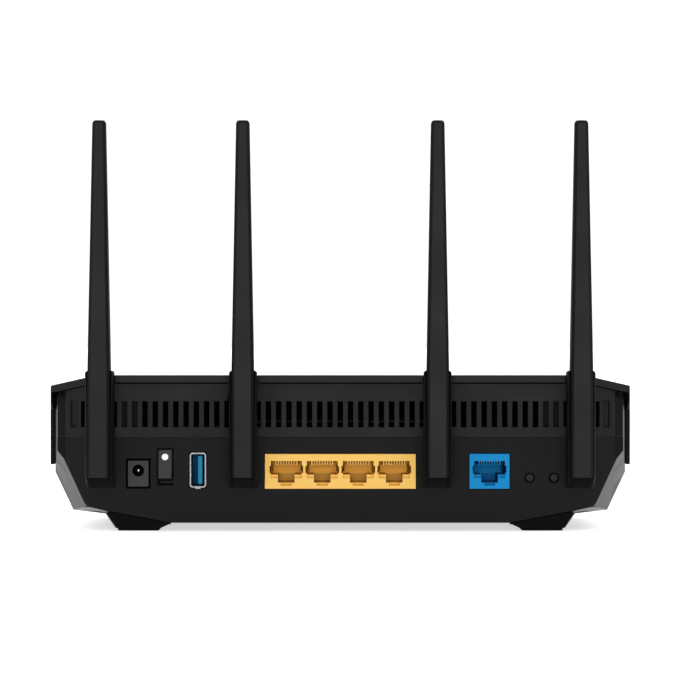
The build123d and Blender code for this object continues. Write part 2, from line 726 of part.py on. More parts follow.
def make_contacts(sockets):
    """Eight sprung wires under the roof of each network socket, drooping towards the back."""
    y0 = JACK_Y + CONTACT_SETBACK
    y1 = JACK_Y + JACK_CAVITY_DEPTH - CONTACT_SETBACK
    high = PLUG_HIGH - CONTACT_ROOF_GAP
    wire = outline([(y0, high - CONTACT_THICK), (y1, high - CONTACT_THICK - CONTACT_DROP),
                    (y1, high - CONTACT_DROP), (y0, high)])
    wires = []
    for x in sockets:
        for n in range(CONTACT_COUNT):
            place = x + (n - (CONTACT_COUNT - 1) / 2) * CONTACT_PITCH
            wires.append(extrude(side_on(place) * wire, CONTACT_WIDTH / 2, both=True))
    return wires


def cut_through_panel(x0, x1, z0, z1):
    """A rectangular cutter through the rear panel."""
    return block(x0, x1, REAR_Y - CUT_OVER, PANEL_IN_Y + CUT_OVER, z0, z1)


def make_rear_panel():
    """The swept rear panel: stepped port band, vent row, connector cut-outs and four pylons."""
    sheet = extrude(panel_band(0, PANEL_THICK), LIP_TOP)
    panel = sheet & faceted(case_stations())
    panel -= extrude(panel_band(-PORT_BAND_RECESS, 2 * PORT_BAND_RECESS), PORT_BAND_TOP)
    panel -= vent_cutters() + connector_cutters() + button_cutters()
    panel += [pylon(x) for x in ANTENNA_X]
    return panel - [along_x(x, HINGE_Y, HINGE_Z, HINGE_RADIUS + HINGE_RUNNING_GAP, PYLON_WIDTH + CUT_OVER)
                    for x in ANTENNA_X]


def vent_cutters():
    """The row of upright vent slots; those inside the outer pylons and at the ends are blind."""
    last = int((HALF_WIDTH - VENT_END_INSET) / VENT_PITCH)
    cutters = []
    for n in range(-last, last + 1):
        x = n * VENT_PITCH
        by_pylon = VENT_BLIND_NEAR < ANTENNA_OUTER_X - abs(x) < VENT_BLIND_FAR
        blind = by_pylon or abs(x) > HALF_WIDTH - VENT_OPEN_INSET
        depth = sweep_at(x) + (VENT_BLIND_DEPTH if blind else 2 * PANEL_THICK)
        cutters.append(block(x - VENT_WIDTH / 2, x + VENT_WIDTH / 2, REAR_Y - CUT_OVER, REAR_Y + depth,
                             VENT_LOW, VENT_HIGH))
    return cutters


USB_X = -between_pylons(USB_SHARE)
DC_X = -between_pylons(DC_SHARE)
ROCKER_X = -between_pylons(ROCKER_SHARE)
BUTTON_X = [between_pylons(share) for share in BUTTON_SHARES]


def connector_cutters():
    """The openings for the network sockets, the USB socket, the power inlet and the rocker."""
    gap = JACK_CLEARANCE
    cutters = []
    for x, width, top in ((0.0, LAN_WIDTH, LAN_TOP), (WAN_X, WAN_WIDTH, WAN_TOP)):
        half = width / 2 + gap
        cutters.append(cut_through_panel(x - half, x + half, BOARD_TOP - gap, top + gap))
    half = USB_SHELL_WIDTH / 2 + USB_LIP + gap
    tall = USB_SHELL_HEIGHT / 2 + USB_LIP + gap
    cutters.append(cut_through_panel(USB_X - half, USB_X + half, USB_Z - tall, USB_Z + tall))
    half = USB_TAB_WIDTH / 2 + gap
    cutters.append(cut_through_panel(USB_X - half, USB_X + half, USB_Z - tall - USB_TAB_DROP, USB_Z))
    half = DC_WIDTH / 2 + DC_CUT_GAP
    cutters.append(cut_through_panel(DC_X - half, DC_X + half, DC_LOW - DC_CUT_GAP, DC_HIGH + DC_CUT_GAP))
    half = ROCKER_OPENING_WIDTH / 2
    cutters.append(cut_through_panel(ROCKER_X - half, ROCKER_X + half,
                                     ROCKER_Z - ROCKER_OPENING_HALF, ROCKER_Z + ROCKER_OPENING_HALF))
    return cutters


def button_cutters():
    """The dished holes of the two push buttons."""
    cutters = []
    for x in BUTTON_X:
        dish = Cone(BUTTON_DISH_RADIUS, BUTTON_HOLE_RADIUS, BUTTON_DISH_DEPTH,
                    align=(Align.CENTER, Align.CENTER, Align.MIN))
        cutters.append(along_y(x, REAR_Y - CUT_OVER, BUTTON_Z, BUTTON_HOLE_RADIUS, 2 * PANEL_THICK))
        cutters.append(Pos(x, PORT_Y, BUTTON_Z) * Rot(-90, 0, 0) * dish)
    return cutters


def sweep_at(x):
    """How far the panel's face has swept forward at x."""
    return SWEEP_BACK * max(0.0, abs(x) - SWEEP_START_X) / (PANEL_SIDE_X - SWEEP_START_X)


def blade_section(z, width, thick):
    """An antenna blade cut level: a rectangle with bevelled corners, centred on its hinge."""
    a, b, c = width / 2, thick / 2, ANTENNA_BEVEL
    corner = [(a, -b + c), (a, b - c), (a - c, b)]
    points = [*corner, (c - a, b), (-a, b - c), (-a, c - b), (c - a, -b), (a - c, -b)]
    return Plane.XY.offset(z) * outline(points)


def round_foot(shape, radius, start):
    """Rounds the shape's end below the hinge about the hinge line, from start towards the front."""
    waste = block(-ANTENNA_WIDTH, ANTENNA_WIDTH, start, ANTENNA_THICK, 0, HINGE_Z)
    return shape - (waste - along_x(0, 0, HINGE_Z, radius, 3 * ANTENNA_WIDTH))


def hinge_hole(shape, gap):
    """Bores the hinge pin's hole across a shape that stands on the hinge line."""
    return shape - along_x(0, 0, HINGE_Z, HINGE_RADIUS + gap, 2 * PYLON_WIDTH)


def make_sleeve():
    """The tapered outer blade, hollow for the knuckle and the strip, with the front of its foot round."""
    crown = ANTENNA_TIP_CROWN
    sleeve = loft([
        blade_section(ANTENNA_FOOT_Z, ANTENNA_WIDTH, ANTENNA_THICK),
        blade_section(ANTENNA_SHOULDER_Z, ANTENNA_WIDTH, ANTENNA_THICK),
        blade_section(ANTENNA_TOP_Z - crown, ANTENNA_TIP_WIDTH, ANTENNA_TIP_THICK),
        blade_section(ANTENNA_TOP_Z, ANTENNA_TIP_WIDTH - crown, ANTENNA_TIP_THICK - crown),
    ], ruled=True)
    sleeve = round_foot(sleeve, ANTENNA_THICK / 2, 0)
    half, thick = KNUCKLE_WIDTH / 2 + KNUCKLE_GAP, KNUCKLE_THICK / 2 + KNUCKLE_GAP
    sleeve -= block(-half, half, -thick, thick, 0, KNUCKLE_TOP + KNUCKLE_GAP)
    half, thick = STRIP_WIDTH / 2 + STRIP_GAP, STRIP_THICK / 2 + STRIP_GAP
    sleeve -= block(-half, half, -thick, thick, KNUCKLE_TOP, STRIP_TOP + STRIP_GAP)
    return hinge_hole(sleeve, HINGE_PRESS_GAP)


def make_knuckle():
    """The block in the blade's foot that turns on the pin."""
    half, thick = KNUCKLE_WIDTH / 2, KNUCKLE_THICK / 2
    knuckle = round_foot(block(-half, half, -thick, thick, 0, KNUCKLE_TOP), thick, -ANTENNA_THICK)
    return hinge_hole(knuckle, HINGE_PRESS_GAP)


def make_strip():
    """The radiating strip, standing on the knuckle inside the blade."""
    half, thick = STRIP_WIDTH / 2, STRIP_THICK / 2
    return block(-half, half, -thick, thick, KNUCKLE_TOP + KNUCKLE_GAP, STRIP_TOP)


def make_hinge_pin():
    """The pin across the pylon's two cheeks."""
    return along_x(0, 0, HINGE_Z, HINGE_RADIUS, PYLON_WIDTH - 2 * HINGE_RECESS)


def make_antennas():
    """The pieces of all four antennas, by node name."""
    pieces = {"sleeve": make_sleeve(), "knuckle": make_knuckle(),
              "strip": make_strip(), "hinge_pin": make_hinge_pin()}
    nodes = {}
    for number, x in enumerate(ANTENNA_X, start=1):
        for name, piece in pieces.items():
            nodes[f"antenna_{number}_{name}"] = Pos(x, HINGE_Y, 0) * piece
    return nodes


def make_main_board():
    """The main board, narrower towards the nose, drilled for its screws."""
    rear = PANEL_IN_Y + BOARD_REAR_GAP
    knee = REAR_Y + BOARD_KNEE_AHEAD
    plan = both_sides([(BOARD_HALF, rear), (BOARD_HALF, knee), (BOARD_NOSE_HALF, BOARD_NOSE_Y)])
    board = extrude(Plane.XY.offset(BOARD_TOP - BOARD_THICK) * outline(plan), BOARD_THICK)
    for x, y in BOARD_POSTS:
        board -= Pos(x, y, BOARD_TOP) * Cylinder(BOARD_SCREW_RADIUS + SCREW_GAP, 4 * BOARD_THICK)
    return board


def make_screw(x, y, seat, radius, length, head, head_height, up):
    """A screw whose head sits on z = seat; up is the way its shank points."""
    shank = Cylinder(radius, length, align=(Align.CENTER, Align.CENTER, Align.MIN))
    cap = Cylinder(head, head_height, align=(Align.CENTER, Align.CENTER, Align.MAX))
    turn = Rot(0, 0, 0) if up else Rot(180, 0, 0)
    return Pos(x, y, seat) * turn * (shank + cap)


def make_board_screws():
    """Screws down through the board into its posts."""
    return [make_screw(x, y, BOARD_TOP, BOARD_SCREW_RADIUS, BOARD_SCREW_LENGTH,
                       BOARD_SCREW_HEAD, BOARD_SCREW_HEAD_HEIGHT, up=False) for x, y in BOARD_POSTS]


def make_case_screws():
    """Screws from below, through the case's posts into the cover's."""
    length = CASE_POST_SPLIT - CASE_SCREW_SEAT + CASE_SCREW_GRIP
    return [make_screw(x, y, CASE_SCREW_SEAT, CASE_SCREW_RADIUS, length,
                       CASE_SCREW_HEAD, CASE_SCREW_HEAD_HEIGHT, up=True) for x, y in CASE_POSTS]


def on_board(x, y, width, depth, low, height):
    """A box that starts a given height above the board."""
    return block(x - width / 2, x + width / 2, y - depth / 2, y + depth / 2,
                 BOARD_TOP + low, BOARD_TOP + low + height)


def make_heat_sink():
    """A finned plate over the processor, standing on two legs."""
    low = CHIP_HEIGHT + PAD_HEIGHT
    sink = on_board(0, SINK_Y, SINK_WIDTH, SINK_DEPTH, low, SINK_BASE)
    fins = int((SINK_WIDTH - SINK_FIN) // SINK_FIN_PITCH)
    for n in range(fins + 1):
        x = (n - fins / 2) * SINK_FIN_PITCH
        sink += on_board(x, SINK_Y, SINK_FIN, SINK_DEPTH, low, SINK_BASE + SINK_FIN_HEIGHT)
    for side in (-1, 1):
        x = side * (SINK_WIDTH / 2 - SINK_LEG_IN)
        sink += Pos(x, SINK_Y, BOARD_TOP) * Cylinder(
            SINK_LEG_RADIUS, low + SINK_BASE / 2, align=(Align.CENTER, Align.CENTER, Align.MIN))
    return sink


def make_shield(x):
    """A pressed metal can over one radio, with rows of air holes in its lid."""
    can = on_board(x, SHIELD_Y, SHIELD_WIDTH, SHIELD_DEPTH, 0, SHIELD_HEIGHT)
    can = fillet(can.edges().filter_by(Axis.Z), SHIELD_CORNER)
    can -= on_board(x, SHIELD_Y, SHIELD_WIDTH - 2 * SHIELD_WALL, SHIELD_DEPTH - 2 * SHIELD_WALL,
                    -CUT_OVER, SHIELD_HEIGHT + CUT_OVER - SHIELD_WALL)
    holes = GridLocations(SHIELD_HOLE_PITCH, SHIELD_HOLE_PITCH, SHIELD_HOLE_COLUMNS, SHIELD_HOLE_ROWS)
    lid = Pos(x, SHIELD_Y, BOARD_TOP + SHIELD_HEIGHT)
    return can - [lid * place * Cylinder(SHIELD_HOLE_RADIUS, 2 * CUT_OVER) for place in holes]


def make_lan_transformers():
    """Network transformers in a row ahead of the sockets."""
    y = REAR_Y + TRANSFORMER_AHEAD
    return [on_board(x, y, TRANSFORMER_WIDTH, TRANSFORMER_DEPTH, 0, TRANSFORMER_HEIGHT)
            for x in (*LAN_X, WAN_X)]


def make_usb_shell():
    """The upright socket's folded shell with a flared lip, a tab below it and two solder legs."""
    start = PORT_Y - USB_PROUD
    centre = Pos(USB_X, start, USB_Z) * Rot(-90, 0, 0)
    tube = extrude(RectangleRounded(USB_SHELL_WIDTH, USB_SHELL_HEIGHT, USB_CORNER), USB_DEPTH)
    lip = extrude(RectangleRounded(USB_SHELL_WIDTH + 2 * USB_LIP, USB_SHELL_HEIGHT + 2 * USB_LIP,
                                   USB_CORNER + USB_LIP), USB_LIP_DEPTH)
    hole = extrude(RectangleRounded(USB_SHELL_WIDTH - 2 * USB_WALL, USB_SHELL_HEIGHT - 2 * USB_WALL,
                                    USB_CORNER - USB_WALL), USB_DEPTH)
    shell = centre * (tube + lip - hole)
    foot = USB_Z - USB_SHELL_HEIGHT / 2 + USB_WALL / 2
    shell += block(USB_X - USB_TAB_WIDTH / 2, USB_X + USB_TAB_WIDTH / 2, start, start + USB_LIP_DEPTH,
                   USB_Z - USB_SHELL_HEIGHT / 2 - USB_LIP - USB_TAB_DROP, foot)
    for y in (start + USB_DEPTH - USB_LEG, start + USB_DEPTH - 3 * USB_LEG):
        shell += block(USB_X - USB_LEG / 2, USB_X + USB_LEG / 2, y - USB_LEG / 2, y + USB_LEG / 2,
                       BOARD_TOP, foot)
    return shell


def make_usb_tongue():
    """The socket's plastic insert: a block at the back and the tongue that carries the contacts."""
    start = PORT_Y - USB_PROUD
    inner = USB_SHELL_WIDTH / 2 - USB_WALL - USB_GAP
    tall = USB_SHELL_HEIGHT / 2 - USB_WALL - USB_GAP
    back = block(USB_X - inner, USB_X + inner, start + USB_PLUG_DEPTH, start + USB_DEPTH,
                 USB_Z - tall, USB_Z + tall)
    back = chamfer(back.edges().filter_by(Axis.Y), USB_CORNER - USB_WALL)
    x = USB_X + USB_TONGUE_SHIFT
    half = USB_TONGUE_HEIGHT / 2
    return back + block(x - USB_TONGUE_THICK / 2, x + USB_TONGUE_THICK / 2, start + USB_TONGUE_SETBACK,
                        start + USB_DEPTH, USB_Z - half, USB_Z + half)


def make_usb_contacts():
    """Four flat contacts on the tongue."""
    start = PORT_Y - USB_PROUD + USB_TONGUE_SETBACK + USB_CONTACT_SETBACK
    x = USB_X + USB_TONGUE_SHIFT - USB_TONGUE_THICK / 2
    blades = []
    for n in range(USB_CONTACTS):
        z = USB_Z + (n - (USB_CONTACTS - 1) / 2) * USB_CONTACT_PITCH
        blades.append(block(x - USB_CONTACT_THICK, x, start, start + USB_CONTACT_LENGTH,
                            z - USB_CONTACT_WIDTH / 2, z + USB_CONTACT_WIDTH / 2))
    return blades


def make_dc_body():
    """The power inlet's block with its round hole, on two ribs."""
    half = DC_WIDTH / 2
    body = block(DC_X - half, DC_X + half, JACK_Y, JACK_Y + DC_DEPTH, DC_LOW, DC_HIGH)
    body -= along_y(DC_X, JACK_Y - CUT_OVER, DC_BORE_Z, DC_BORE_RADIUS, DC_BORE_DEPTH + CUT_OVER)
    for side in (-1, 1):
        x = DC_X + side * (half - DC_RIB)
        body += block(x - DC_RIB / 2, x + DC_RIB / 2, PANEL_IN_Y + BOARD_REAR_GAP + DC_RIB,
                      JACK_Y + DC_DEPTH, BOARD_TOP, DC_LOW)
    return body


def make_dc_pin():
    """The inlet's centre pin, domed at its free end."""
    length = DC_BORE_DEPTH - DC_PIN_SETBACK
    pin = along_y(DC_X, JACK_Y + DC_PIN_SETBACK, DC_BORE_Z, DC_PIN_RADIUS, length)
    tip = pin.edges().filter_by(GeomType.CIRCLE).sort_by(Axis.Y)[0]
    return fillet(tip, DC_PIN_RADIUS * DC_PIN_DOME)


ROCKER_Y = PORT_Y + ROCKER_SINK


def make_rocker():
    """The power rocker on its trunnions, tilted so that its lower end stands out."""
    profile = [(-ROCKER_FACE_OUT, -ROCKER_FACE_HALF), (-ROCKER_FACE_OUT, ROCKER_FACE_HALF),
               (0, ROCKER_BELLY_HALF), (ROCKER_BACK_IN, ROCKER_BACK_HALF),
               (ROCKER_BACK_IN, -ROCKER_BACK_HALF), (0, -ROCKER_BELLY_HALF)]
    rocker = extrude(side_on(0) * outline(profile), ROCKER_WIDTH / 2, both=True)
    face = rocker.faces().sort_by(Axis.Y)[0]
    rocker = fillet(face.edges(), ROCKER_EDGE)
    axle = ROCKER_WIDTH + 2 * (HOUSING_SIDE_GAP + HOUSING_WALL)
    rocker += along_x(0, 0, 0, TRUNNION_RADIUS, axle)
    return Pos(ROCKER_X, ROCKER_Y, ROCKER_Z) * Rot(-ROCKER_TILT, 0, 0) * rocker


def make_switch_housing():
    """The open box behind the panel that carries the rocker's trunnions."""
    front = PANEL_IN_Y + SEAM_GAP
    half = ROCKER_WIDTH / 2 + HOUSING_SIDE_GAP
    tall = ROCKER_OPENING_HALF
    top = ROCKER_Z + tall + HOUSING_WALL
    housing = block(ROCKER_X - half - HOUSING_WALL, ROCKER_X + half + HOUSING_WALL,
                    front, front + HOUSING_DEPTH, BOARD_TOP, top)
    housing -= block(ROCKER_X - half, ROCKER_X + half, front - CUT_OVER,
                     front + HOUSING_DEPTH - HOUSING_WALL, ROCKER_Z - tall, ROCKER_Z + tall)
    return housing - along_x(ROCKER_X, ROCKER_Y, ROCKER_Z, TRUNNION_RADIUS + TRUNNION_GAP,
                             4 * ROCKER_WIDTH)


def make_button(x):
    """A push button: cap in the panel's hole, collar behind the panel, stem into its switch."""
    front = PORT_Y + BUTTON_SINK
    collar = PANEL_IN_Y + BUTTON_REST_GAP
    stem = collar + BUTTON_COLLAR_THICK
    button = along_y(x, front, BUTTON_Z, BUTTON_RADIUS, stem - front)
    rim = button.edges().filter_by(GeomType.CIRCLE).sort_by(Axis.Y)[0]
    button = fillet(rim, BUTTON_EDGE)
    button += along_y(x, collar, BUTTON_Z, BUTTON_COLLAR_RADIUS, BUTTON_COLLAR_THICK)
    return button + along_y(x, stem, BUTTON_Z, BUTTON_STEM_RADIUS, BUTTON_STEM_LENGTH)


def make_tact_switches():
    """One small switch behind each button, with a socket that guides the button's stem."""
    stem = PANEL_IN_Y + BUTTON_REST_GAP + BUTTON_COLLAR_THICK
    front = stem + BUTTON_TRAVEL + BUTTON_REST_GAP
    radius = BUTTON_STEM_RADIUS + BUTTON_STEM_GAP
    switches = []
    for x in BUTTON_X:
        body = block(x - TACT_WIDTH / 2, x + TACT_WIDTH / 2, front, front + TACT_DEPTH,
                     BOARD_TOP, BOARD_TOP + TACT_HEIGHT)
        socket = along_y(x, front - CUT_OVER, BUTTON_Z, radius, BUTTON_STEM_LENGTH + CUT_OVER)
        switches.append(body - socket)
    return switches


def make_light_pipes():
    """A clear comb from the board's front edge to the windows in the nose."""
    start = BOARD_NOSE_Y + LIGHT_SETBACK
    high = LIGHT_LOW + LIGHT_HEIGHT
    half = LIGHT_WIDTH / 2
    comb = block(LIGHT_X[0] - half, LIGHT_X[-1] + half, start, start + LIGHT_BAR, LIGHT_LOW, high)
    for x in LIGHT_X:
        comb += block(x - half, x + half, start, FRONT_Y, LIGHT_LOW, high)
    for x in (-LIGHT_LEG_X, LIGHT_LEG_X):
        comb += block(x - half, x + half, start - 2 * LIGHT_BAR, start + LIGHT_BAR, BOARD_TOP, high)
    return comb


def make_status_leds():
    """One small lamp on the board behind each light pipe."""
    y = BOARD_NOSE_Y - LED_SETBACK
    return [on_board(x, y, LED_WIDTH, LED_DEPTH, 0, LED_HEIGHT) for x in LIGHT_X]


nodes = {
    "lower_case": make_lower_case(),
    "top_cover": make_top_cover(),
    "rear_panel": make_rear_panel(),
    "foot_pads": make_foot_pads(),
    "main_board": make_main_board(),
    "board_screws": make_board_screws(),
    "case_screws": make_case_screws(),
    "processor": on_board(0, SINK_Y, CHIP_WIDTH, CHIP_WIDTH, 0, CHIP_HEIGHT),
    "thermal_pad": on_board(0, SINK_Y, CHIP_WIDTH, CHIP_WIDTH, CHIP_HEIGHT, PAD_HEIGHT),
    "heat_sink": make_heat_sink(),
    "radio_shield_left": make_shield(-SHIELD_X),
    "radio_shield_right": make_shield(SHIELD_X),
    "lan_transformers": make_lan_transformers(),
    "lan_sockets": make_jack(0.0, LAN_WIDTH, LAN_TOP, LAN_X),
    "lan_contacts": make_contacts(LAN_X),
    "wan_socket": make_jack(WAN_X, WAN_WIDTH, WAN_TOP, [WAN_X]),
    "wan_contacts": make_contacts([WAN_X]),
    "usb_shell": make_usb_shell(),
    "usb_tongue": make_usb_tongue(),
    "usb_contacts": make_usb_contacts(),
    "power_inlet": make_dc_body(),
    "power_inlet_pin": make_dc_pin(),
    "power_switch_housing": make_switch_housing(),
    "power_rocker": make_rocker(),
    "tact_switches": make_tact_switches(),
    "light_pipes": make_light_pipes(),
    "status_leds": make_status_leds(),
    **{name: make_button(x) for name, x in zip(BUTTON_NAMES, BUTTON_X)},
    **make_antennas(),
}

os.makedirs("parts", exist_ok=True)
for name, shape in nodes.items():
    solids = Compound(children=shape) if isinstance(shape, list) else shape
    export_step(solids, f"parts/{name}.step")
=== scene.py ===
"""Looks of a desktop wireless router seen from its connector side. Metres, in the model's frame."""
import json
import math

import bmesh
import bpy
from mathutils import Matrix, Vector


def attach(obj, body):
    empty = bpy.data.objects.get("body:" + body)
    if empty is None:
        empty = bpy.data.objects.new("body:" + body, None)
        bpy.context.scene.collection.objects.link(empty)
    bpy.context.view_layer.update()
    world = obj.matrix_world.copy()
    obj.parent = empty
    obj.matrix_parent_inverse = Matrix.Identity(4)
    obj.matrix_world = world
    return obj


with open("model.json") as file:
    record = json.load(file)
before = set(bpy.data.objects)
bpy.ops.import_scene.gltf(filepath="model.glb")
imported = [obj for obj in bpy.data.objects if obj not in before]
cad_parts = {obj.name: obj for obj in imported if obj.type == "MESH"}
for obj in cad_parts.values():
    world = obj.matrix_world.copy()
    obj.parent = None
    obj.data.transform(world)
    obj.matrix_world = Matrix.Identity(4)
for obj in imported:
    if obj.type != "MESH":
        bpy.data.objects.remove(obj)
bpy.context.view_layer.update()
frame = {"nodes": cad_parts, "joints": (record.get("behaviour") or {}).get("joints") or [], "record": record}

MM = 0.001

# The photograph's camera: level, square to the connector panel
PHOTO_PIXELS = 679
PANEL_PIXELS_PER_MM = 2.57
PANEL_Y = -0.066
PANEL_DISTANCE = 0.953
CAMERA_HEIGHT = 0.0745
CAMERA_SIDE = -0.0003
SENSOR_MM = 36.0

# The sky's strength on the camera's side and behind the object, and where along Y it turns
SKY_FRONT = 0.10
SKY_BACK = 1.10
SKY_TURN_START = -0.2
SKY_TURN_END = 0.6
SUN_STRENGTH = 1.8
SUN_SPREAD = math.radians(120.0)

# The white floor
FLOOR_SIZE = 40.0
FLOOR_DARK = 0.90
FLOOR_LIGHT = 0.93
FLOOR_CLOUD_MM = 300.0
FLOOR_CLOUD_DETAIL = 2.0
FLOOR_ROUGHNESS = 0.9
FLOOR_GLOSS = 0.1
FLOOR_GLOW = 0.60

# The lamps: place, size and watts
LAMP_AIM = (0.0, -0.02, 0.05)
LAMPS = {
    "left_box": ((-1.3, -0.2, 0.5), (1.0, 1.0), 1.5),
    "right_box": ((1.3, -0.2, 0.5), (1.0, 1.0), 1.5),
    "front_box": ((0.0, -1.5, 0.16), (0.9, 0.3), 8.0),
}

# The middle part of a noise texture's values, which add_range stretches
NOISE_LOW = 0.3
NOISE_HIGH = 0.7

# Moulded plastic: its grain, and the clouds that have a share in its tone
GRAIN_DETAIL = 3.0
GRAIN_RELIEF_MM = 0.02
GRAIN_SHARE = 0.5
CLOUD_MM = 18.0
CLOUD_DETAIL = 4.0

# Metal: its fine marks
MARK_DETAIL = 5.0
MARK_TONE = 0.8
MARK_RELIEF_MM = 0.01

# The circuit board, whose tracks are the joints of a brick pattern
BOARD_PATTERN = {
    "Scale": 110.0,
    "Mortar Size": 0.03,
    "Color1": (0.010, 0.060, 0.030, 1.0),
    "Color2": (0.012, 0.075, 0.036, 1.0),
    "Mortar": (0.030, 0.140, 0.070, 1.0),
}
BOARD_CLOUD_MM = 6.0
BOARD_CLOUD_DETAIL = 3.0
BOARD_ROUGHNESS = (0.25, 0.40)
TRACK_RELIEF_MM = 0.03

# Clear plastic, with faint swirls
CLEAR_LOOK = {
    "Base Color": (0.86, 0.88, 0.90, 1.0),
    "Transmission Weight": 0.85,
    "IOR": 1.49,
}
SWIRL_MM = 4.0
SWIRL_DETAIL = 2.0
SWIRL_ROUGHNESS = (0.05, 0.20)
SWIRL_RELIEF_MM = 0.02


def grey(level):
    """A neutral colour."""
    return (level, level, level)


def new_material(name):
    """A node material with its shader: (material, node tree, shader)."""
    material = bpy.data.materials.new(name)
    material.use_nodes = True
    tree = material.node_tree
    return material, tree, tree.nodes["Principled BSDF"]


def add_noise(tree, size_mm, detail, stretch=(1.0, 1.0, 1.0)):
    """A noise texture whose features are about size_mm across, in the model's own space."""
    place = tree.nodes.new("ShaderNodeTexCoord")
    mapping = tree.nodes.new("ShaderNodeMapping")
    mapping.inputs["Scale"].default_value = stretch
    noise = tree.nodes.new("ShaderNodeTexNoise")
    noise.inputs["Scale"].default_value = 1.0 / (size_mm * MM)
    noise.inputs["Detail"].default_value = detail
    tree.links.new(place.outputs["Object"], mapping.inputs["Vector"])
    tree.links.new(mapping.outputs["Vector"], noise.inputs["Vector"])
    return noise.outputs["Fac"]


def add_range(tree, value, low, high):
    """A noise value stretched to run from low to high."""
    spread = tree.nodes.new("ShaderNodeMapRange")
    spread.inputs["From Min"].default_value = NOISE_LOW
    spread.inputs["From Max"].default_value = NOISE_HIGH
    spread.inputs["To Min"].default_value = low
    spread.inputs["To Max"].default_value = high
    tree.links.new(value, spread.inputs["Value"])
    return spread.outputs["Result"]


def add_mix(tree, value, dark, light):
    """A colour between dark and light by the value."""
    mix = tree.nodes.new("ShaderNodeMix")
    mix.data_type = "RGBA"
    mix.inputs["A"].default_value = (*dark, 1.0)
    mix.inputs["B"].default_value = (*light, 1.0)
    tree.links.new(value, mix.inputs["Factor"])
    return mix.outputs["Result"]


def add_bump(tree, height, depth_mm, shader):
    """Fine relief on the shader from a height value."""
    bump = tree.nodes.new("ShaderNodeBump")
    bump.inputs["Distance"].default_value = depth_mm * MM
    tree.links.new(height, bump.inputs["Height"])
    tree.links.new(bump.outputs["Normal"], shader.inputs["Normal"])


def moulded(name, colour, spread=0.25, roughness=(0.40, 0.52), grain_mm=0.35, gloss=0.5):
    """Moulded plastic with a spark-eroded grain, cloudy tone and uneven sheen."""
    material, tree, shader = new_material(name)
    grain = add_noise(tree, grain_mm, GRAIN_DETAIL)
    cloud = add_noise(tree, CLOUD_MM, CLOUD_DETAIL)
    tone = tree.nodes.new("ShaderNodeMix")
    tone.inputs["Factor"].default_value = GRAIN_SHARE
    tree.links.new(cloud, tone.inputs["A"])
    tree.links.new(grain, tone.inputs["B"])
    dark = [c * (1.0 - spread) for c in colour]
    light = [min(1.0, c * (1.0 + spread)) for c in colour]
    tree.links.new(add_mix(tree, tone.outputs["Result"], dark, light), shader.inputs["Base Color"])
    tree.links.new(add_range(tree, cloud, *roughness), shader.inputs["Roughness"])
    shader.inputs["Specular IOR Level"].default_value = gloss
    add_bump(tree, grain, GRAIN_RELIEF_MM, shader)
    return material


def metal(name, colour, roughness=(0.18, 0.36), stretch=(1.0, 1.0, 1.0), grain_mm=0.5):
    """Plated or drawn metal with fine marks along its working direction."""
    material, tree, shader = new_material(name)
    marks = add_noise(tree, grain_mm, MARK_DETAIL, stretch)
    dark = [c * MARK_TONE for c in colour]
    tree.links.new(add_mix(tree, marks, dark, colour), shader.inputs["Base Color"])
    tree.links.new(add_range(tree, marks, *roughness), shader.inputs["Roughness"])
    shader.inputs["Metallic"].default_value = 1.0
    add_bump(tree, marks, MARK_RELIEF_MM, shader)
    return material


def circuit_board(name):
    """Green solder mask with lighter tracks."""
    material, tree, shader = new_material(name)
    place = tree.nodes.new("ShaderNodeTexCoord")
    bricks = tree.nodes.new("ShaderNodeTexBrick")
    for setting, value in BOARD_PATTERN.items():
        bricks.inputs[setting].default_value = value
    tree.links.new(place.outputs["Object"], bricks.inputs["Vector"])
    tree.links.new(bricks.outputs["Color"], shader.inputs["Base Color"])
    cloud = add_noise(tree, BOARD_CLOUD_MM, BOARD_CLOUD_DETAIL)
    tree.links.new(add_range(tree, cloud, *BOARD_ROUGHNESS), shader.inputs["Roughness"])
    add_bump(tree, bricks.outputs["Fac"], TRACK_RELIEF_MM, shader)
    return material


def clear_plastic(name):
    """Clear moulded plastic for the light pipes."""
    material, tree, shader = new_material(name)
    for setting, value in CLEAR_LOOK.items():
        shader.inputs[setting].default_value = value
    swirl = add_noise(tree, SWIRL_MM, SWIRL_DETAIL)
    tree.links.new(add_range(tree, swirl, *SWIRL_ROUGHNESS), shader.inputs["Roughness"])
    add_bump(tree, swirl, SWIRL_RELIEF_MM, shader)
    return material


def add_step(tree, source, axis, low, high):
    """1 where an axis of the model's place ("Object") or facing ("Normal") passes from low to high.

    The sign of the axis is dropped, so a step holds alike on both sides.
    """
    place = tree.nodes.new("ShaderNodeTexCoord")
    split = tree.nodes.new("ShaderNodeSeparateXYZ")
    size = tree.nodes.new("ShaderNodeMath")
    size.operation = "ABSOLUTE"
    step = tree.nodes.new("ShaderNodeMapRange")
    step.inputs["From Min"].default_value = low
    step.inputs["From Max"].default_value = high
    tree.links.new(place.outputs[source], split.inputs["Vector"])
    tree.links.new(split.outputs[axis], size.inputs[0])
    tree.links.new(size.outputs["Value"], step.inputs["Value"])
    return step.outputs["Result"]


def blend_input(tree, socket, mask, value):
    """Turns a shader's input to the value where the mask is 1, and keeps what it had elsewhere."""
    mix = tree.nodes.new("ShaderNodeMix")
    mix.data_type = "FLOAT" if isinstance(value, float) else "RGBA"
    mix.inputs["B"].default_value = value
    if socket.is_linked:
        tree.links.new(socket.links[0].from_socket, mix.inputs["A"])
    else:
        mix.inputs["A"].default_value = socket.default_value
    tree.links.new(mask, mix.inputs["Factor"])
    tree.links.new(mix.outputs["Result"], socket)


